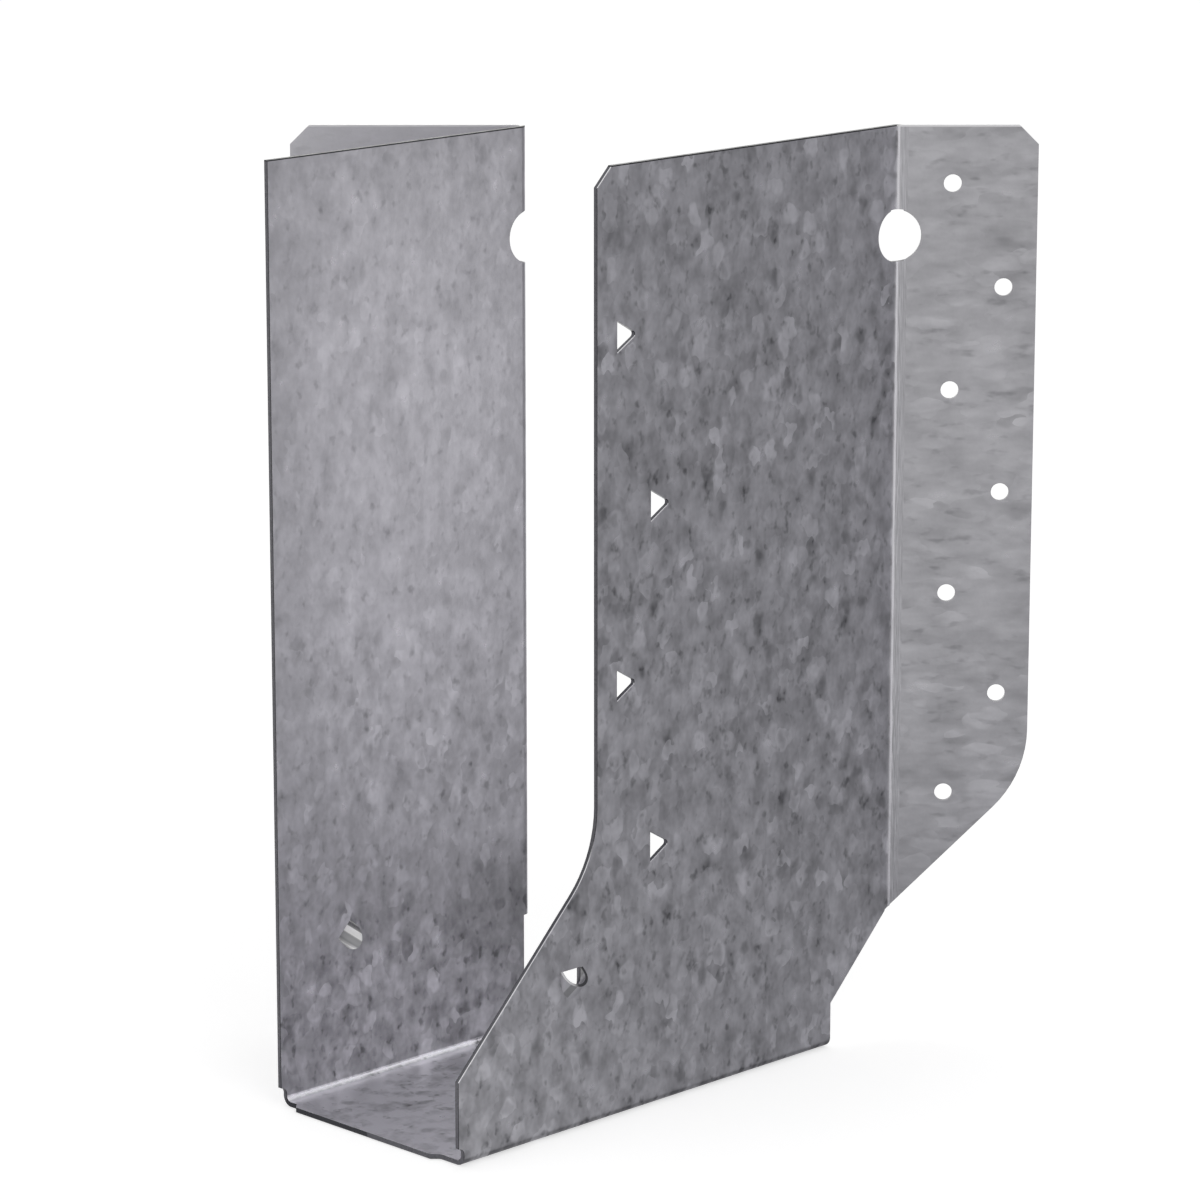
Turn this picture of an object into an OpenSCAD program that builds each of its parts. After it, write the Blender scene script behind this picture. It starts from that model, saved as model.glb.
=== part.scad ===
// Skewed face-mount joist hanger.
//
// One blank of galvanised sheet steel, folded four times: a seat that the
// joist stands on, two side plates that cradle it, and two nailing flanges
// that lie flat against the header, which the joist meets at an angle.
//
// Axes: X across the joist, Y along the joist toward the header, Z up.
// Origin: underside of the seat, on the joist's centreline, midway between
// the seat's front and back edges. Lengths are millimetres.
//
// The sheet is drawn in flat layouts. On the side plates a point is [distance
// along the joist, height], counted from where the joist's centreline meets the
// header face. On a flange it is [distance outward from its fold, height].

/* [Sheet] */
// Thickness of the sheet
sheet_t = 1.2; // [1:0.1:1.5]
// Inside radius of every fold
fold_r = 1.3; // [1:0.1:1.6]

/* [Joist pocket] */
// Clear width between the side plates
pocket_w = 60.6; // [56:0.1:90]
// Height from the seat's underside to the top edges
hanger_h = 228.3; // [200:0.1:300]
// Angle between the header face and square to the joist
skew = 45; // [35:1:47]
// Front edges to the header face, along the joist's centreline
reach = 117.5; // [110:0.5:140]

/* [Side plates] */
// Upper front edge of the right plate to the header face
upper_reach = 72.3; // [70:0.1:80]
// Height of the right plate's low front edge, where its slope begins
toe_h = 20.8; // [16:0.1:28]
// Radius in the corner between that slope and the upper front edge
shoulder_r = 28.4; // [20:0.1:34]
// Height of the right plate's upright back edge
heel_h = 11.4; // [8:0.1:16]
// Height above which the left plate turns into its flange
left_fold_h = 30.8; // [27:0.1:34]
// Height above which the right plate turns into its flange
right_fold_h = 31.3; // [28:0.1:34]
// Chamfer on the free top corners
corner_chamfer = 4.7; // [3:0.1:6]

/* [Flanges] */
// Width of the left flange, past its fold
left_flange_w = 54.2; // [50:0.1:64]
// Width of the right flange, past its fold
right_flange_w = 33.7; // [30:0.1:40]
// Height of each flange's outer edge above the seat's underside
flange_edge_h = 66.1; // [64:0.1:72]
// Radius on each flange's lower outer corner
flange_corner_r = 28.3; // [20:0.1:30]

/* [Header nail holes] */
// Diameter of the header nail holes
nail_d = 4.4; // [3.8:0.1:5]
// Height step from one nail hole to the next
nail_pitch = 25.4; // [22:0.1:32]
// Sideways step between the two columns of nail holes
nail_stagger = 12.7; // [11:0.1:14]
// Outer column to the flange's outer edge
nail_edge = 7.9; // [6:0.1:9]
// Highest nail hole below the top edge
nail_drop = 14.2; // [10:0.1:18]

/* [Fold holes] */
// Diameter of the round hole in each flange fold
fold_hole_d = 12.8; // [10:0.1:14]
// Centre of that hole below the top edge
fold_hole_drop = 26.9; // [20:0.1:34]

/* [Triangular holes] */
// Side of the triangular joist nail holes
tri_side = 7.7; // [5.5:0.1:8.5]
// Radius on the corner that points to the header
tri_tip_r = 0.8; // [0.5:0.1:1]
// Front row of triangular holes to the header face
tri_reach = 65.9; // [64:0.1:67]
// Back row behind the front row
tri_stagger = 11.2; // [10:0.1:14]
// Height step from one triangular hole to the next
tri_pitch = 41.3; // [36:0.1:50]
// Highest triangular hole below the top edge
tri_drop = 39.8; // [34:0.1:44]

/* [Nail guides] */
// Height of each guide's slit
guide_h = 40.1; // [38:0.1:44]
// Slit of the right plate's guide to the header face
right_guide_reach = 80.9; // [76:0.1:83]
// Slit of the left plate's guide to the header face
left_guide_reach = 96.7; // [80:0.1:104]
// Inside radius of the guide's round bottom
guide_r = 2.9; // [2:0.1:3.2]
// Straight sides of the guide, above the round
guide_arm = 1.3; // [0.8:0.1:1.6]
// Thickness of the drawn sheet around the guide
guide_t = 0.7; // [0.6:0.1:1]
// Slope of the nail against the plate
guide_slope = 44; // [42:1:52]

/* [Seat] */
// Depth of the reliefs beside the seat's front edge
relief_d = 1.7; // [1.2:0.1:2.2]
// Left end of the seat's front edge, from the joist's centreline
front_left = 25.2; // [22:0.1:26]
// Right end of the seat's front edge, from the joist's centreline
front_right = 21.7; // [18:0.1:26]

/* [Hidden] */
$fn = 96;

STEEL = [0.62, 0.62, 0.64];

// Sheets and cutting tools run this far past the edges that trim them
past = 1;
// An arc or a fold stands this far proud, so that it crosses what it runs into
hair = 0.001;
// Room kept between the lowest nail hole and the flange's sloping edge
nail_low_h = flange_edge_h - nail_pitch / 2;
// Room kept between the lowest triangle and the plate's sloping edge
tri_low_h = toe_h + 38;
// Straight sheet kept between a seat fold and its relief's round end
relief_rise = 0.5;
// Straight sheet kept between a flange fold and where its free lower end starts
fold_land = 0.2;
// Inside corner of the right relief
relief_r = 1.5;
// The left guide runs down and toward the header, the right one straight down
left_guide_roll = 45;

// Folds: outside radius, and where each one's axis lies
fold_o = fold_r + sheet_t;
fold_m = fold_r + sheet_t / 2;
lap = fine(sqrt(2 * hair * fold_m));
lap_turn = lap / fold_m * 180 / PI;
face_u = pocket_w / 2;
fold_u = face_u + fold_o;
seat_u = face_u - fold_r;
right_turn = 90 - skew;
left_turn = 90 + skew;
right_back = fine(along_joist(fold_u));
left_back = fine(along_joist(-fold_u));

// Edges
top = hanger_h;
front = -reach;
upper_front = -upper_reach;
shoulder_h = toe_h + reach - upper_reach;
heel = right_back - right_fold_h + heel_h;
left_edge = left_back - fold_land;
seat_back = left_edge + seat_u * tan(skew);
seat_corner_u = fine((heel - left_edge) / tan(skew) - seat_u);
right_low_h = flange_edge_h - right_flange_w;

// Rows of holes that fit between the top and the sloping edges
nail_rows = floor((top - nail_drop - nail_low_h) / nail_pitch);
tri_rows = floor((top - tri_drop - tri_low_h) / tri_pitch);

// The origin is midway along the seat's centreline
header_y = fine((reach - seat_back) / 2);

// Whole thousandths of a millimetre
function fine(x) = round(x * 1000) / 1000;
// Where a flange fold's axis lies along the joist, from its offset across it
function along_joist(u) = (u * sin(skew) - fold_o) / cos(skew);
// Half the length of sheet in a fold that turns by this angle
function half_fold(turn) = fold_m * turn * PI / 360;
// Point along and toward the header face from a fold's axis, in plan
function header_point(x, y) = [
    x * cos(skew) - y * sin(skew),
    x * sin(skew) + y * cos(skew)
];
// Point at a distance and an angle from another point
function polar(p, d, a) = p + d * [cos(a), sin(a)];

// Area between a corner and the arc that rounds it, for edges at two angles
module corner_web(p, r, a1, a2) {
    half = abs(a2 - a1) / 2;
    run = r / tan(half);
    middle = (a1 + a2) / 2;
    centre = polar(p, r / sin(half), middle);
    difference() {
        polygon([
            polar(p, -past, middle),
            polar(p, run, a1),
            centre,
            polar(p, run, a2)
        ]);
        translate(centre) circle(r + hair);
    }
}

// Stands a layout on a side plate, as a sheet that grows toward +X
module on_plate(u, t) {
    translate([u, 0, 0])
        rotate([90, 0, 90])
            linear_extrude(height = t) children();
}

// Stands a layout on a flange, from its fold's axis, between two distances
module on_flange(near, far) {
    rotate([0, 0, skew])
        translate([0, far, 0])
            rotate([90, 0, 0])
                linear_extrude(height = far - near) children();
}

// Axis of the fold between the right plate and its flange
module at_right_fold() {
    translate([fold_u, right_back, 0]) children();
}

// Axis of the fold between the left plate and its flange
module at_left_fold() {
    translate([-fold_u, left_back, 0]) children();
}

// Fold of sheet about the Z axis, from one angle through another
module fold(start, turn, length) {
    rotate([0, 0, start])
        rotate_extrude(angle = turn)
            translate([fold_r, 0]) square([sheet_t, length]);
}

// The same, with its ends let into the sheets that it joins
module lapped_fold(start, turn, length) {
    rotate([0, 0, start - lap_turn])
        rotate_extrude(angle = turn + 2 * lap_turn)
            translate([fold_r + hair, 0]) square([sheet_t, length]);
}

// Relief at the front of a side plate, where the seat fold begins
module plate_relief() {
    low = fold_o + relief_rise;
    translate([front - past, 0]) square([relief_d + past, low]);
    translate([front, low]) circle(relief_d);
}

// Outline of the left plate
module left_plate_outline() {
    difference() {
        union() {
            translate([front, fold_o])
                square([left_edge - front, top + past - fold_o]);
            translate([front, left_fold_h - past])
                square([left_back + lap - front, top + 2 * past - left_fold_h]);
        }
        plate_relief();
    }
}

// Outline of the right plate
module right_plate_outline() {
    difference() {
        union() {
            polygon([
                [front, fold_o],
                [heel, fold_o],
                [heel, heel_h],
                [right_back - fold_land, right_fold_h - fold_land],
                [right_back - fold_land, right_fold_h - past],
                [right_back + lap, right_fold_h - past],
                [right_back + lap, top + past],
                [upper_front + corner_chamfer + past, top + past],
                [upper_front, top - corner_chamfer],
                [upper_front, shoulder_h],
                [front, toe_h]
            ]);
            corner_web([upper_front, shoulder_h], shoulder_r, 90, 225);
        }
        plate_relief();
    }
}

// Outline of a flange of this width, whose lower edge starts at this height
module flange_outline(w, low) {
    difference() {
        polygon([
            [-lap, low],
            [w - flange_edge_h + low, low],
            [w, flange_edge_h],
            [w, top - corner_chamfer],
            [w - corner_chamfer - past, top + past],
            [-lap, top + past]
        ]);
        corner_web([w, flange_edge_h], flange_corner_r, 90, 225);
        nail_zigzag(w);
    }
}

// Outline of the seat between its folds
module seat_outline() {
    notch = front + relief_d;
    polygon([
        [-front_left, front],
        [front_right, front],
        [front_right + relief_d, notch],
        [seat_u, notch],
        [seat_u, heel],
        [seat_corner_u, heel],
        [-seat_u, left_edge],
        [-seat_u, notch],
        [-front_left - relief_d, notch]
    ]);
    corner_web([front_right + relief_d, notch], relief_r, 0, -135);
}

// Seat with the two folds that raise the side plates
module seat() {
    notch = front + relief_d;
    linear_extrude(height = sheet_t) seat_outline();
    translate([seat_u, notch, fold_o])
        rotate([-90, 0, 0]) fold(0, 90, heel - notch);
    translate([-seat_u, notch, fold_o])
        rotate([-90, 0, 0]) fold(90, 90, left_edge - notch);
}

// Zigzag of nail holes down a flange of this width
module nail_zigzag(w) {
    for (i = [0:nail_rows]) {
        inset = nail_edge + (i % 2 == 0 ? nail_stagger : 0);
        translate([w - inset, top - nail_drop - i * nail_pitch])
            circle(d = nail_d);
    }
}

// Triangle with one rounded corner, which points to the header
module triangle_hole() {
    tip = [tri_side * sin(60), 0];
    difference() {
        polygon([[0, -tri_side / 2], tip, [0, tri_side / 2]]);
        corner_web(tip, tri_tip_r, 150, 210);
    }
}

// Two staggered rows of triangular holes
module triangle_zigzag() {
    for (i = [0:tri_rows]) {
        row = -tri_reach + (i % 2 == 0 ? 0 : tri_stagger);
        translate([row, top - tri_drop - i * tri_pitch]) triangle_hole();
    }
}

// Round hole through a flange fold, square to both of the sheets it joins
module fold_hole(side, turn) {
    z = top - fold_hole_drop;
    slack = half_fold(turn);
    on_plate(side > 0 ? -fold_o - past : 0, fold_o + past)
        translate([slack, z]) circle(d = fold_hole_d);
    on_flange(0, fold_o + past)
        translate([-side * slack, z]) circle(d = fold_hole_d);
}

// Slanting lower end of the right flange fold, between its plate and flange
module right_fold_trim() {
    rise = right_low_h - right_fold_h;
    run = 2 * fold_m * sin(right_turn / 2);
    wide = fold_o + past;
    deep = 4 * wide;
    y = -fold_land * (1 + sin(skew)) / cos(skew);
    near = header_point(fold_land, y);
    far = header_point(fold_land, wide);
    intersection() {
        translate([0, 0, right_fold_h - deep / 2])
            linear_extrude(height = deep)
                polygon([near, [-wide, -fold_land], [-wide, far[1]], far]);
        rotate([0, 0, 180 - right_turn / 2])
            translate([fold_m, 0, (right_low_h + right_fold_h) / 2])
                rotate([-atan2(rise, run), 0, 0])
                    translate([-deep, -deep, -deep])
                        cube([2 * deep, 2 * deep, deep]);
    }
}

// U-shaped section of a nail guide, closed side away from the plate
module guide_section(r, back) {
    translate([-r, -back]) square([2 * r, back + guide_arm]);
    translate([0, guide_arm]) circle(r);
}

// Turns a section into a bar that slopes down and inward from the slit
module guide_bar(length) {
    rotate([0, guide_slope, 0])
        rotate([180, 0, 90])
            linear_extrude(height = length) children();
}

// Sheet drawn out of a plate whose outer face looks toward +X
module guide_shell() {
    outer = guide_r + guide_t;
    reach_out = guide_arm + outer;
    length = (reach_out * cos(guide_slope) + sheet_t) / sin(guide_slope);
    intersection() {
        guide_bar(length) guide_section(outer, 0);
        translate([-sheet_t / 2, -2 * outer, -4 * outer])
            cube([4 * outer, 4 * outer, 4 * outer]);
    }
}

// Way through the guide for the nail, open above to the slit
module guide_bore() {
    reach_out = guide_arm + guide_r;
    length = (reach_out * cos(guide_slope) + 2 * sheet_t) / sin(guide_slope);
    intersection() {
        guide_bar(length) guide_section(guide_r, 2 * guide_r);
        translate([-4 * guide_r, -2 * guide_r, -4 * guide_r])
            cube([8 * guide_r, 4 * guide_r, 4 * guide_r]);
    }
}

// Puts a guide on the outer face of the right plate
module at_right_guide() {
    translate([face_u + sheet_t, -right_guide_reach, guide_h]) children();
}

// Puts a guide on the outer face of the left plate
module at_left_guide() {
    translate([-face_u - sheet_t, -left_guide_reach, guide_h])
        mirror([1, 0, 0])
            rotate([left_guide_roll, 0, 0]) children();
}

// Cuts every sheet off level at the top
module top_trim() {
    wide = 2 * (pocket_w + left_flange_w + reach);
    translate([-wide, -wide, top]) cube([2 * wide, 2 * wide, 2 * past]);
}

// Cuts the left flange and its fold off level, outside the left plate
module left_fold_trim() {
    outside = -face_u - sheet_t;
    inside = -face_u + past;
    far = outside - left_flange_w;
    translate([0, 0, left_fold_h - 2 * past])
        linear_extrude(height = 2 * past)
            polygon([
                [outside, left_edge],
                [outside, left_edge - left_flange_w],
                [far, left_edge - left_flange_w],
                [far, left_edge + fold_u],
                [inside, left_edge + fold_u],
                [inside, left_edge]
            ]);
}

// The whole folded sheet
module hanger() {
    color(STEEL)
    translate([0, header_y, 0])
    difference() {
        union() {
            seat();
            on_plate(-face_u - sheet_t, sheet_t) left_plate_outline();
            on_plate(face_u, sheet_t)
                difference() {
                    right_plate_outline();
                    triangle_zigzag();
                }
            at_right_fold() {
                translate([0, 0, right_fold_h - past])
                    lapped_fold(180 - right_turn, right_turn,
                        top - right_fold_h + 2 * past);
                on_flange(fold_r, fold_o) {
                    flange_outline(right_flange_w, right_low_h);
                    translate([-lap, right_low_h - past])
                        square([lap + fold_land, 2 * past]);
                }
            }
            at_left_fold() {
                translate([0, 0, left_fold_h - past])
                    lapped_fold(0, left_turn, top - left_fold_h + 2 * past);
                on_flange(fold_r, fold_o)
                    mirror([1, 0])
                        flange_outline(left_flange_w, left_fold_h - past);
            }
            at_right_guide() guide_shell();
            at_left_guide() guide_shell();
        }
        top_trim();
        left_fold_trim();
        at_right_fold() right_fold_trim();
        at_right_fold() fold_hole(1, right_turn);
        at_left_fold() fold_hole(-1, left_turn);
        at_right_guide() guide_bore();
        at_left_guide() guide_bore();
    }
}

hanger();
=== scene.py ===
import math

import bpy
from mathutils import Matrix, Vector


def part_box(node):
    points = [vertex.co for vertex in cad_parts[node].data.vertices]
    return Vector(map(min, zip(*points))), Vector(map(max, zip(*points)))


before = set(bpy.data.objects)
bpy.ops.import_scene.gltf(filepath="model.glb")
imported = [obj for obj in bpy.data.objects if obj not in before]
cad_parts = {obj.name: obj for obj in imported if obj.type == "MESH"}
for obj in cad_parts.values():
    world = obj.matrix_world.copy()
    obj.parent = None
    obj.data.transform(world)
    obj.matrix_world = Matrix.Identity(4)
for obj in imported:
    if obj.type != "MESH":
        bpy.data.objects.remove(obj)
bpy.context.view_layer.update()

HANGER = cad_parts["hanger"]
LOW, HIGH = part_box("hanger")

# Where the sheets lie, in metres: half the clear pocket, the sheet, the radii of the
# folds, the plates' outer faces and the header plane
FACE_U = 0.0303
SHEET_T = 0.0012
FOLD_I = 0.0013
FOLD_O = 0.0025
OUTER_U = FACE_U + SHEET_T
HEADER_Y = 0.062518
SKEW = math.radians(45)
# Square to the header, and how far along that way the flanges' outer faces lie
HEADER = (-math.sin(SKEW), math.cos(SKEW), 0.0)
FLANGE_H = HEADER_Y * math.cos(SKEW)

# Insides of the right flange fold, in plan, and of the seat folds, from the front
FLANGE_FOLD = (0.031840, 0.092640)
SEAT_FOLD = (0.030210, 0.002100)

# Nail guides: the middle and the reach of the left one's dish, then the slope and the
# top of the right one, and where its rim turns from a painted highlight to painted
# shade
DISH = (-0.0306, HEADER_Y - 0.0942, 0.0374)
DISH_R = 0.009
GUIDE_SLOPE = math.radians(44)
GUIDE_TOP = 0.046
RIM_SHADE_FROM, RIM_SHADE_TO = HEADER_Y - 0.0836, HEADER_Y - 0.0814
# Ways that the nails take through the left guide and through the right one
LEFT_WAY = (0.6947, 0.5086, -0.5086)
RIGHT_WAY = (0.6947, 0.0, 0.7193)

# Tolerances that tell one face of the sheet from the next
SKIN = 0.00004
FILM = 0.00005
THIN = 0.0001
GAP = 0.0004

# Colours between which the metal varies, dark and light, and those of single lines,
# several of them painted highlights and shade
ZINC = (0.190, 0.189, 0.200, 1), (0.955, 0.945, 0.990, 1)
SHEARED = (0.14, 0.14, 0.155, 1), (0.30, 0.295, 0.32, 1)
SHEARED_SLOPE_SHADE = (0.125, 0.125, 0.138, 1)
SHEARED_LEVEL_SHADE = (0.055, 0.055, 0.060, 1)
ARRIS_SHADE_AND_HIGHLIGHT = (0.10, 0.10, 0.11, 1), (0.96, 0.955, 0.98, 1)
CROWN_SHADE = (0.050, 0.050, 0.055, 1)
CREST_HIGHLIGHT = (0.96, 0.955, 0.97, 1)
LEFT_GUIDE_REFLECTIONS = (0.34, 0.34, 0.35, 1), (1.0, 0.995, 1.0, 1)
RIGHT_GUIDE_REFLECTIONS = (0.44, 0.44, 0.45, 1), (0.74, 0.735, 0.76, 1)
RIM_HIGHLIGHT_AND_SHADE = (0.62, 0.615, 0.63, 1), (0.060, 0.060, 0.065, 1)

# Shares of the range of the zinc by which each part of the pattern moves its tone
CRYSTALS = 0.14
BRIGHT_CRYSTALS = 0.26
DARK_CRYSTALS = -0.24
BLOTCHES = 1.05
SPECKS = -0.34
CLOUDS = 0.16
GRAIN = 0.06
# The same, for painted light and shade: places that are lighter or darker as a whole
FOLD_HIGHLIGHT_LIFT = 0.48
SEAT_LIGHT_BESIDE_FOLDS = 0.30
SEAT_LIGHT = 0.39
RIGHT_PLATE_LIGHT = 0.05
LEFT_FLANGE_LIGHT = 0.20
FAR_FACE_LIGHT = 0.36
BACK_SHADE = -0.26
UNDERSIDE_SHADE = -0.34

# Normals: along a way at least this much, or at most this much on a sheared edge
SQUARE_TO = 0.9
EDGE_ON = 0.3


class Nodes:
    """Short calls that add shader nodes to one tree."""

    def __init__(self, tree):
        self.tree = tree
        tree.nodes.clear()
        self.count = 0

    def add(self, kind, **props):
        node = self.tree.nodes.new(kind)
        node.location = (220 * (self.count % 8), -260 * (self.count // 8))
        self.count += 1
        for name, value in props.items():
            setattr(node, name, value)
        return node

    def link(self, source, target):
        self.tree.links.new(source, target)

    def put(self, value, target):
        if isinstance(value, bpy.types.NodeSocket):
            self.link(value, target)
        elif value is not None:
            target.default_value = value

    def math(self, operation, a, b=None, clamp=False):
        node = self.add("ShaderNodeMath", operation=operation, use_clamp=clamp)
        self.put(a, node.inputs[0])
        self.put(b, node.inputs[1])
        return node.outputs[0]

    def plus(self, a, b):
        return self.math("ADD", a, b)

    def minus(self, a, b):
        return self.math("SUBTRACT", a, b)

    def times(self, a, b):
        return self.math("MULTIPLY", a, b)

    def over(self, a, b):
        return self.math("GREATER_THAN", a, b)

    def under(self, a, b):
        return self.math("LESS_THAN", a, b)

    def most(self, a, b):
        return self.math("MAXIMUM", a, b)

    def size(self, a):
        return self.math("ABSOLUTE", a)

    def rest(self, share):
        """What a share leaves of 1."""
        return self.minus(1.0, share)

    def lift(self, tone, mask, amount):
        """The tone, moved by this amount where the mask is 1."""
        return self.plus(tone, self.times(mask, amount))

    def sway(self, tone, pattern, amount):
        """The tone, moved up and down by a pattern that lies round 0.5."""
        return self.lift(tone, self.minus(pattern, 0.5), amount)

    def between(self, value, low, high):
        return self.times(self.over(value, low), self.under(value, high))

    def near(self, value, middle):
        return self.between(value, middle - THIN, middle + THIN)

    def vec(self, operation, a, b=None):
        node = self.add("ShaderNodeVectorMath", operation=operation)
        self.put(a, node.inputs[0])
        self.put(b, node.inputs[1])
        is_number = operation in ("DOT_PRODUCT", "LENGTH")
        return node.outputs["Value" if is_number else "Vector"]

    def split(self, vector):
        node = self.add("ShaderNodeSeparateXYZ")
        self.link(vector, node.inputs[0])
        return node.outputs[0], node.outputs[1], node.outputs[2]

    def ramp(self, value, low, high, out_low=0.0, out_high=1.0):
        node = self.add("ShaderNodeMapRange", clamp=True)
        node.interpolation_type = "SMOOTHSTEP"
        for number, name in (
            (value, "Value"), (low, "From Min"), (high, "From Max"),
            (out_low, "To Min"), (out_high, "To Max"),
        ):
            self.put(number, node.inputs[name])
        return node.outputs["Result"]

    def noise_node(self, vector, scale, detail, roughness=0.5):
        node = self.add("ShaderNodeTexNoise", noise_dimensions="3D")
        self.link(vector, node.inputs["Vector"])
        node.inputs["Scale"].default_value = scale
        node.inputs["Detail"].default_value = detail
        node.inputs["Roughness"].default_value = roughness
        return node

    def noise(self, vector, scale, detail, roughness=0.5):
        return self.noise_node(vector, scale, detail, roughness).outputs["Fac"]

    def mix(self, factor, a, b):
        node = self.add("ShaderNodeMix", data_type="RGBA")
        self.put(factor, node.inputs["Factor"])
        self.put(a, node.inputs[6])
        self.put(b, node.inputs[7])
        return node.outputs[2]

    def mix_vectors(self, factor, a, b):
        node = self.add("ShaderNodeMix", data_type="VECTOR")
        self.put(factor, node.inputs[0])
        self.put(a, node.inputs[4])
        self.put(b, node.inputs[5])
        return node.outputs[1]

    def mix_shaders(self, factor, a, b):
        node = self.add("ShaderNodeMixShader")
        for source, target in zip((factor, a, b), node.inputs):
            self.link(source, target)
        return node.outputs[0]

    def glow(self, kind, strength, colour=(1, 1, 1, 1)):
        node = self.add(kind)
        self.put(colour, node.inputs["Color"])
        self.put(strength, node.inputs["Strength"])
        return node.outputs[0]

    def finish(self, shader, kind="ShaderNodeOutputMaterial"):
        self.link(shader, self.add(kind).inputs["Surface"])


def new_material(name):
    material = bpy.data.materials.new(name)
    material.use_nodes = True
    return material, Nodes(material.node_tree)


def cut_edge_mask(n, place, normal):
    """1 on the sheared edges of the sheet, 0 on its rolled faces and its folds."""
    x, _, z = n.split(place)
    nx, ny, nz = (n.size(part) for part in n.split(normal))
    across = n.size(x)

    # Side plates: the rolled faces look along X
    plate = n.between(across, FACE_U - SKIN, OUTER_U + SKIN)
    plate = n.times(plate, n.over(z, FOLD_O - SKIN))
    plate = n.times(plate, n.under(nx, EDGE_ON))

    # Flanges: the rolled faces look along the header normal
    depth = n.vec("DOT_PRODUCT", place, HEADER)
    flange = n.between(depth, FLANGE_H - SHEET_T - SKIN, FLANGE_H + SKIN)
    flange = n.times(flange, n.over(across, OUTER_U + GAP))
    facing = n.size(n.vec("DOT_PRODUCT", normal, HEADER))
    flange = n.times(flange, n.under(facing, EDGE_ON))

    # Seat and the ends of its folds
    seat = n.times(n.under(z, SHEET_T + SKIN), n.under(nz, EDGE_ON))
    seat = n.times(seat, n.under(across, FACE_U - FOLD_I + SKIN))
    ends = n.times(n.over(ny, 0.95), n.under(z, FOLD_O + SKIN))

    # Level ends of the upright folds
    level = n.times(n.over(nz, SQUARE_TO), n.over(z, 0.02))

    mask = plate
    for part in (flange, seat, ends, level):
        mask = n.most(mask, part)
    return mask


def near_line(n, u, v, line, inner, outer):
    """1 close to a straight line that is seen end-on, 0 away from it."""
    du, dv = n.minus(u, line[0]), n.minus(v, line[1])
    far = n.math("SQRT", n.plus(n.times(du, du), n.times(dv, dv)))
    return n.ramp(far, outer, inner)


class Sheet:
    """Where a point of the sheet lies, and the patterns that the looks share."""

    def __init__(self, n):
        coords = n.add("ShaderNodeTexCoord")
        self.place, self.normal = coords.outputs["Object"], coords.outputs["Normal"]
        self.x, self.y, self.z = n.split(self.place)
        self.nx, _, self.nz = n.split(self.normal)
        self.across = n.size(self.x)
        self.on_left = n.under(self.x, 0.0)
        self.on_right = n.over(self.x, 0.0)
        self.in_plates = n.under(self.across, OUTER_U + FILM)
        self.on_flange = n.ramp(self.across, 0.0316, 0.0336)

        # The crystals stand upright on the side plates and lie along the flanges
        upright = n.vec("MULTIPLY", self.place, (1.0, 1.0, 0.80))
        lying = n.vec("MULTIPLY", self.place, (0.44, 0.44, 1.10))
        self.laid = n.mix_vectors(self.on_flange, upright, lying)

        self.blotches = n.noise(self.laid, 215, 2, 0.60)
        self.grain = n.noise(self.place, 1400, 1, 0.6)
        self.specks = n.ramp(n.noise(self.laid, 400, 2), 0.43, 0.22)
        self.cut = cut_edge_mask(n, self.place, self.normal)

        # Painted highlight along the inside of each fold, where the finish is also
        # smoother
        self.fold_highlight = near_line(n, self.x, self.y, FLANGE_FOLD, 0.00016, 0.00040)
        for side in (-1, 1):
            fold = side * SEAT_FOLD[0], SEAT_FOLD[1]
            seat_fold_highlight = near_line(n, self.x, self.z, fold, 0.00022, 0.00060)
            self.fold_highlight = n.most(self.fold_highlight, seat_fold_highlight)


def spangle(n, at):
    """Zinc crystals some millimetres wide, a few bright or dark, with dark specks."""
    warp = n.noise_node(at.laid, 300, 1)
    shift = n.vec("SUBTRACT", warp.outputs["Color"], (0.5, 0.5, 0.5))
    shift = n.vec("MULTIPLY", shift, (0.0046, 0.0046, 0.0046))
    cells = n.add("ShaderNodeTexVoronoi", voronoi_dimensions="3D", feature="F1")
    n.link(n.vec("ADD", at.laid, shift), cells.inputs["Vector"])
    cells.inputs["Scale"].default_value = 225
    far = cells.outputs["Distance"]
    chance_a, chance_b, chance_c = n.split(cells.outputs["Color"])
    bright = n.times(n.ramp(chance_a, 0.58, 0.92), n.ramp(far, 0.66, 0.38))
    dark = n.times(n.ramp(chance_b, 0.30, 0.16), n.ramp(far, 0.56, 0.18))

    tone = n.times(n.minus(chance_c, 0.5), CRYSTALS)
    tone = n.lift(tone, bright, BRIGHT_CRYSTALS)
    tone = n.lift(tone, dark, DARK_CRYSTALS)
    tone = n.sway(tone, at.blotches, BLOTCHES)
    tone = n.lift(tone, at.specks, SPECKS)

    # Calmer up the left plate and on the flanges, and a little on what faces the
    # pocket, but stronger on the seat
    calm = n.most(n.times(at.on_left, n.ramp(at.z, 0.05, 0.14)), at.on_flange)
    vigour = n.rest(n.times(calm, 0.55))
    gain = n.minus(0.30, n.times(n.over(at.z, 0.0024), 0.62))
    gain = n.times(n.under(at.x, 0.0310), gain)
    tone = n.times(tone, n.times(vigour, n.plus(gain, 1.0)))

    tone = n.sway(tone, n.noise(at.place, 30, 1), CLOUDS)
    return n.sway(tone, at.grain, GRAIN)


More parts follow.
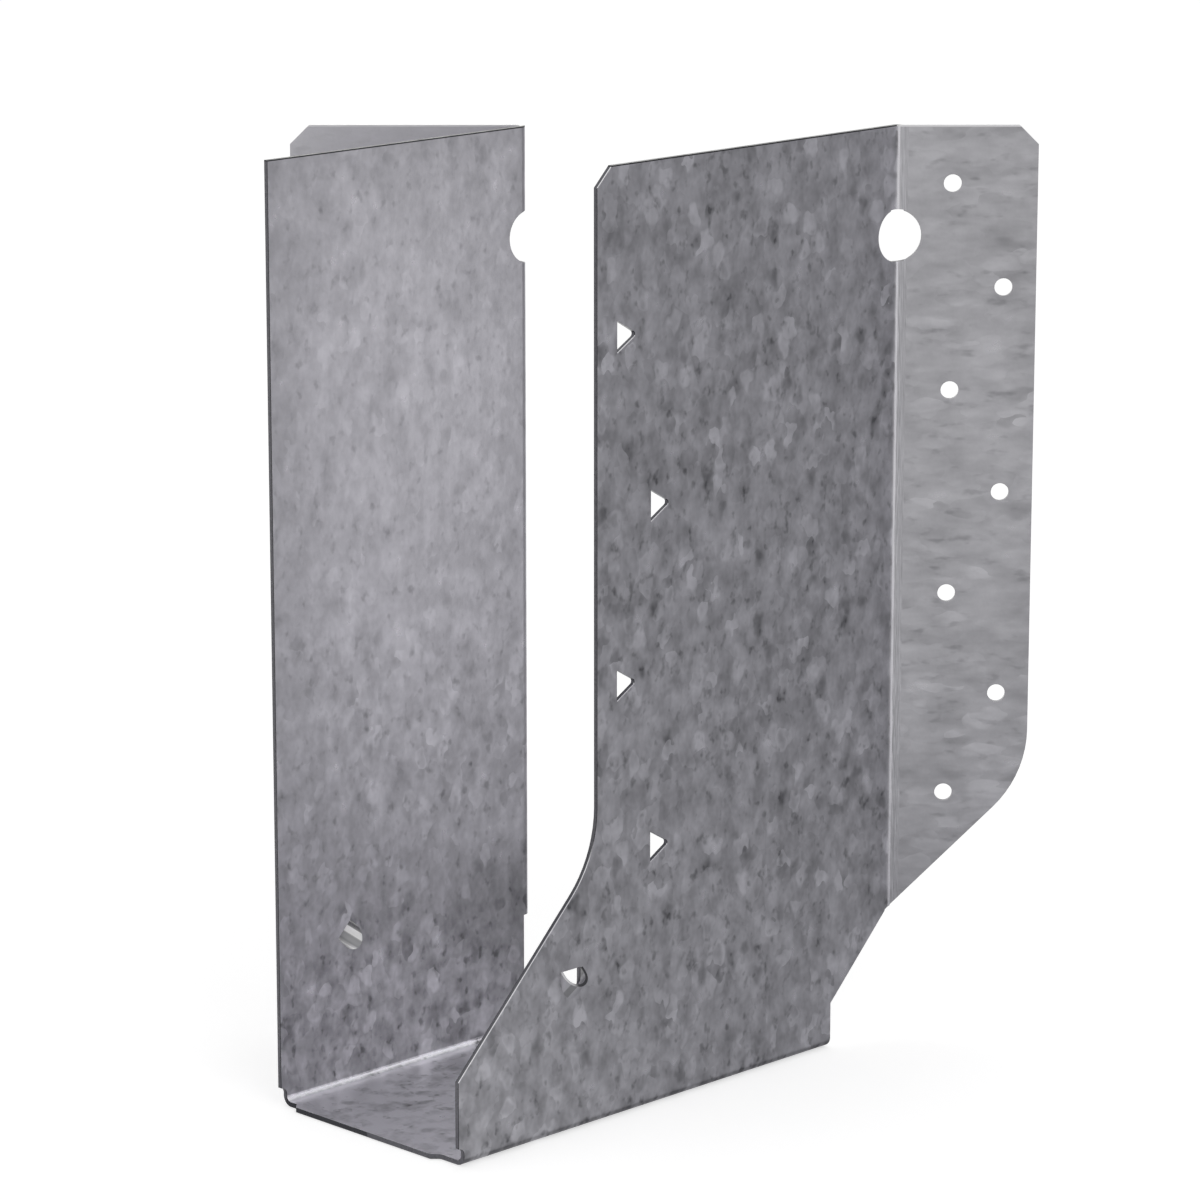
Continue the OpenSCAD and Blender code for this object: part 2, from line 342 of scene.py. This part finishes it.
def zinc_colour(n, at):
    """The spangle, with painted light and shade by the face that it lies on."""
    tone = spangle(n, at)

    # Painted highlight inside the folds, and painted light on the seat, which
    # brightens toward them
    upward = n.over(at.nz, 0.3)
    beside_folds_light = n.ramp(at.across, 0.0165, 0.0302)
    beside_folds_light = n.times(n.times(beside_folds_light, beside_folds_light), n.under(at.z, 0.0023))
    tone = n.lift(tone, at.fold_highlight, FOLD_HIGHLIGHT_LIFT)
    tone = n.lift(tone, n.times(beside_folds_light, upward), SEAT_LIGHT_BESIDE_FOLDS)
    tone = n.lift(tone, n.times(n.under(at.z, SHEET_T + THIN), upward), SEAT_LIGHT)

    # Painted shade: the left plate's inner face is darker at its foot and a little at
    # its top
    foot = n.ramp(at.z, 0.026, 0.064, -0.22, 0.03)
    top = n.ramp(at.z, 0.170, 0.215, 0.0, 0.11)
    tone = n.plus(tone, n.times(n.near(at.x, -FACE_U), n.minus(foot, top)))

    # Painted light: the right plate's outer face, and the left flange, a little
    # lighter
    outer_face = n.times(n.over(at.x, OUTER_U - THIN), n.rest(at.on_flange))
    tone = n.lift(tone, outer_face, RIGHT_PLATE_LIGHT)
    tone = n.lift(tone, n.under(at.x, -OUTER_U - GAP), LEFT_FLANGE_LIGHT)

    # Painted light on the plates' other faces, with their pattern a little calmer,
    # and painted shade on the flanges' backs and the undersides
    far_face = n.most(n.near(at.x, FACE_U), n.near(at.x, -OUTER_U))
    tone = n.times(tone, n.rest(n.times(far_face, 0.1)))
    tone = n.lift(tone, far_face, FAR_FACE_LIGHT)
    backs_shade_mask = n.ramp(n.vec("DOT_PRODUCT", at.normal, HEADER), 0.5, 0.9)
    tone = n.lift(tone, backs_shade_mask, BACK_SHADE)
    underside_shade_mask = n.times(n.ramp(at.nz, -0.03, -0.45), n.under(at.z, FOLD_O + THIN))
    tone = n.lift(tone, underside_shade_mask, UNDERSIDE_SHADE)

    return n.mix(n.math("ADD", tone, 0.5, clamp=True), *ZINC)


def with_edges(n, at, colour):
    """Sheared edges: bare, darker steel, with painted shade on the sloping and level
    ones and a painted line along the arris.
    """
    shear = n.mix(at.grain, *SHEARED)
    # Painted shade on the plates' sloping cut faces, and darker on their level ones
    lifted = n.times(n.ramp(at.nz, 0.25, 0.45), at.in_plates)
    shear = n.mix(lifted, shear, SHEARED_SLOPE_SHADE)
    level_cut = n.over(at.nz, SQUARE_TO)
    shear = n.mix(n.times(level_cut, at.in_plates), shear, SHEARED_LEVEL_SHADE)

    # The arris is the part of the edge next to the face in view; it gets a painted
    # highlight line where the edge slopes up and a painted shade line elsewhere
    outer = n.ramp(at.x, OUTER_U - 0.00034, OUTER_U - 0.00022)
    inner = n.ramp(at.x, -FACE_U - 0.00034, -FACE_U - 0.00022)
    arris = n.most(n.times(outer, at.on_right), n.times(inner, at.on_left))
    arris = n.times(n.times(arris, at.in_plates), n.rest(level_cut))
    shear = n.mix(arris, shear, n.mix(lifted, *ARRIS_SHADE_AND_HIGHLIGHT))
    colour = n.mix(at.cut, colour, shear)

    # At the top, the plates end in a painted shade line and the flanges in a painted
    # highlight line
    crown = n.ramp(at.z, HIGH.z - 0.00034, HIGH.z - 0.00024)
    colour = n.mix(n.times(crown, at.in_plates), colour, CROWN_SHADE)
    crest = n.ramp(at.z, HIGH.z - 0.00052, HIGH.z - 0.00036)
    return n.mix(n.times(crest, n.rest(at.in_plates)), colour, CREST_HIGHLIGHT)


def reflection_streaks(n, at, way, low, high):
    """Painted reflection streaks along the way that a nail takes."""
    along = n.vec("PROJECT", at.place, way)
    return n.ramp(n.noise(n.vec("SUBTRACT", at.place, along), 620, 0), low, high)


def with_guides(n, at, colour):
    """The nail guides: painted reflection streaks, and a rim with a painted highlight
    on one side and painted shade on the other.
    """
    reach = n.vec("LENGTH", n.vec("SUBTRACT", at.place, DISH))
    dish = n.times(n.under(reach, DISH_R), n.under(n.size(at.nx), 0.97))
    streaks = reflection_streaks(n, at, LEFT_WAY, 0.40, 0.52)
    colour = n.mix(dish, colour, n.mix(streaks, *LEFT_GUIDE_REFLECTIONS))

    drawn = n.times(n.over(at.across, OUTER_U + FILM), n.under(at.z, GUIDE_TOP))
    drawn = n.times(n.times(drawn, n.under(at.y, 0.0)), at.on_right)
    streaks = reflection_streaks(n, at, RIGHT_WAY, 0.36, 0.46)
    colour = n.mix(drawn, colour, n.mix(streaks, *RIGHT_GUIDE_REFLECTIONS))

    rim_way = (math.sin(GUIDE_SLOPE), 0.0, math.cos(GUIDE_SLOPE))
    rim = n.over(n.vec("DOT_PRODUCT", at.normal, rim_way), 0.97)
    rim_shade = n.ramp(at.y, RIM_SHADE_FROM, RIM_SHADE_TO)
    return n.mix(n.times(rim, drawn), colour, n.mix(rim_shade, *RIM_HIGHLIGHT_AND_SHADE))


def galvanised_steel():
    """Hot-dip zinc: soft spangle, dark specks, painted light and shade by face,
    painted highlights in the folds, sheared edges.
    """
    material, n = new_material("galvanised_steel")
    at = Sheet(n)
    colour = with_guides(n, at, with_edges(n, at, zinc_colour(n, at)))

    # Light blotches, the folds under their painted highlight and cut edges are
    # smoother, specks are rougher
    rough = n.sway(0.34, at.blotches, -0.30)
    rough = n.lift(rough, at.specks, 0.12)
    rough = n.lift(rough, at.fold_highlight, -0.14)
    rough = n.math("SUBTRACT", rough, n.times(at.cut, 0.06), clamp=True)

    bevel = n.add("ShaderNodeBevel", samples=2)
    bevel.inputs["Radius"].default_value = 0.00024
    bump = n.add("ShaderNodeBump")
    bump.inputs["Strength"].default_value = 0.45
    bump.inputs["Distance"].default_value = 0.00010
    n.link(n.noise(at.place, 520, 1, 0.6), bump.inputs["Height"])
    n.link(bevel.outputs["Normal"], bump.inputs["Normal"])

    shader = n.add("ShaderNodeBsdfPrincipled")
    shader.inputs["Metallic"].default_value = 1.0
    n.link(colour, shader.inputs["Base Color"])
    n.link(rough, shader.inputs["Roughness"])
    n.link(bump.outputs["Normal"], shader.inputs["Normal"])
    n.finish(shader.outputs["BSDF"])
    return material


steel = galvanised_steel()
for slot in HANGER.material_slots:
    slot.material = steel


# Floor: pale, lit by the lamps, keeps the object's shadow
FLOOR_SIZE = 40
FLOOR_DROP = 0.0002


def floor_material():
    material, n = new_material("pale_floor")
    shader = n.add("ShaderNodeBsdfDiffuse")
    shader.inputs["Color"].default_value = (0.58, 0.58, 0.58, 1)
    lit = shader.outputs[0]
    far = n.vec("LENGTH", n.add("ShaderNodeTexCoord").outputs["Object"])
    glow = n.glow("ShaderNodeEmission", n.ramp(far, 0.2, 1.8, 0.60, 0.68))
    both = n.add("ShaderNodeAddShader")
    n.link(lit, both.inputs[0])
    n.link(glow, both.inputs[1])
    path = n.add("ShaderNodeLightPath").outputs
    seen = n.most(path["Is Camera Ray"], path["Is Glossy Ray"])
    seen = n.most(seen, path["Is Transmission Ray"])
    n.finish(n.mix_shaders(seen, lit, both.outputs[0]))
    return material


bpy.ops.mesh.primitive_plane_add(size=FLOOR_SIZE, location=(0, 0, LOW.z - FLOOR_DROP))
floor = bpy.context.object
floor.name = "floor"
floor.data.materials.append(floor_material())


# Round reflector that only the metal's reflections see. Its greys turn smoothly about
# a point to the left of the object, from one direction of the studio to the next
TURN = math.radians(60)
BACK = (-math.sin(TURN), math.cos(TURN), 0.0)
RIGHT = (math.cos(TURN), math.sin(TURN), 0.0)
CENTRE = (-0.0849, -0.0849, 0.0)
BACK_GREY, FRONT_GREY, RIGHT_GREY, LEFT_GREY = 1.32, 0.60, 0.285, 0.40
TOP_GREY = 0.95
# Radius and height of each of its rings, from the floor up
RINGS = (
    (0.001, -0.0001), (0.30, -0.0001), (0.60, 0.01),
    (0.78, 0.09), (0.86, 0.25), (0.90, 0.62),
)
RING_STEPS = 64


def azimuth_shares(n, place):
    """Shares of back, front, right and left in a direction, seen from the centre."""
    flat = n.vec("MULTIPLY", n.vec("SUBTRACT", place, CENTRE), (1.0, 1.0, 0.0))
    unit = n.vec("NORMALIZE", flat)
    shares = []
    for axis in (BACK, RIGHT):
        along = n.vec("DOT_PRODUCT", unit, axis)
        for sign in (1.0, -1.0):
            part = n.most(n.times(along, sign), 0.0)
            shares.append(n.times(part, part))
    return shares


def reflector_material():
    material, n = new_material("reflector")
    place = n.add("ShaderNodeTexCoord").outputs["Object"]
    back, front, right, left = azimuth_shares(n, place)
    level = n.times(back, BACK_GREY)
    for share, grey in ((front, FRONT_GREY), (right, RIGHT_GREY), (left, LEFT_GREY)):
        level = n.lift(level, share, grey)
    height = n.split(place)[2]
    level = n.most(level, n.ramp(height, 0.22, 0.60, 0.0, TOP_GREY))

    # A little bluer on the right, a little warmer at the back
    blue = n.lift(1.0, right, 0.045)
    blue = n.lift(blue, back, -0.035)
    tint = n.add("ShaderNodeCombineColor")
    for value, target in zip((1.0, 1.0, blue), tint.inputs):
        n.put(value, target)
    n.finish(n.glow("ShaderNodeEmission", level, tint.outputs[0]))
    return material


def make_reflector():
    points, faces = [], []
    for i in range(RING_STEPS):
        angle = 2 * math.pi * i / RING_STEPS
        for r, z in RINGS:
            points.append((r * math.cos(angle), r * math.sin(angle), z))
    rows = len(RINGS)
    for i in range(RING_STEPS):
        a = i * rows
        b = (i + 1) % RING_STEPS * rows
        for k in range(rows - 1):
            faces.append((a + k, b + k, b + k + 1, a + k + 1))
    mesh = bpy.data.meshes.new("reflector")
    mesh.from_pydata(points, [], faces)
    mesh.materials.append(reflector_material())
    tent = bpy.data.objects.new("reflector", mesh)
    bpy.context.scene.collection.objects.link(tent)
    tent.visible_camera = False
    tent.visible_diffuse = False
    tent.visible_transmission = False
    tent.visible_shadow = False


make_reflector()


# World: white to the camera, dimmer as light, and in between to the metal, which sees
# it above the reflector
WORLD_LIGHT = 0.55
WORLD_MIRRORED = 0.28


def make_world():
    world = bpy.data.worlds.new("studio")
    bpy.context.scene.world = world
    world.use_nodes = True
    n = Nodes(world.node_tree)
    path = n.add("ShaderNodeLightPath").outputs
    seen = n.most(path["Is Camera Ray"], path["Is Transmission Ray"])
    strength = n.plus(n.times(path["Is Glossy Ray"], WORLD_MIRRORED), WORLD_LIGHT)
    light = n.glow("ShaderNodeBackground", strength)
    white = n.glow("ShaderNodeBackground", 1.0)
    n.finish(n.mix_shaders(seen, light, white), "ShaderNodeOutputWorld")


make_world()


# Two soft square lamps, which light the floor and don't show in the metal
LAMP_TARGET = Vector((0, 0, 0.1))


def soft_lamp(name, place, side, power):
    data = bpy.data.lights.new(name, "AREA")
    data.shape = "RECTANGLE"
    data.size = data.size_y = side
    data.energy = power
    lamp = bpy.data.objects.new(name, data)
    lamp.location = place
    aim = LAMP_TARGET - Vector(place)
    lamp.rotation_euler = aim.to_track_quat("-Z", "Y").to_euler()
    lamp.visible_glossy = False
    bpy.context.scene.collection.objects.link(lamp)


soft_lamp("top_lamp", (-0.1, 0.1, 1.5), 0.9, 4.1)
soft_lamp("key_lamp", (0.91, -0.36, 1.1), 0.55, 2.8)

# Camera: its place, tilt and lens were solved from the photograph
view = bpy.data.cameras.new("camera")
view.sensor_fit = "HORIZONTAL"
view.sensor_width = 36.0
view.lens = 149.67
view.clip_start = 0.05
view.clip_end = 100
camera = bpy.data.objects.new("camera", view)
camera.location = (0.82722, -0.86723 + HEADER_Y, 0.39030)
camera.rotation_euler = (math.radians(76.852), 0.0, math.radians(45.0))
bpy.context.scene.collection.objects.link(camera)
bpy.context.scene.camera = camera

bpy.context.scene.view_settings.view_transform = "Standard"
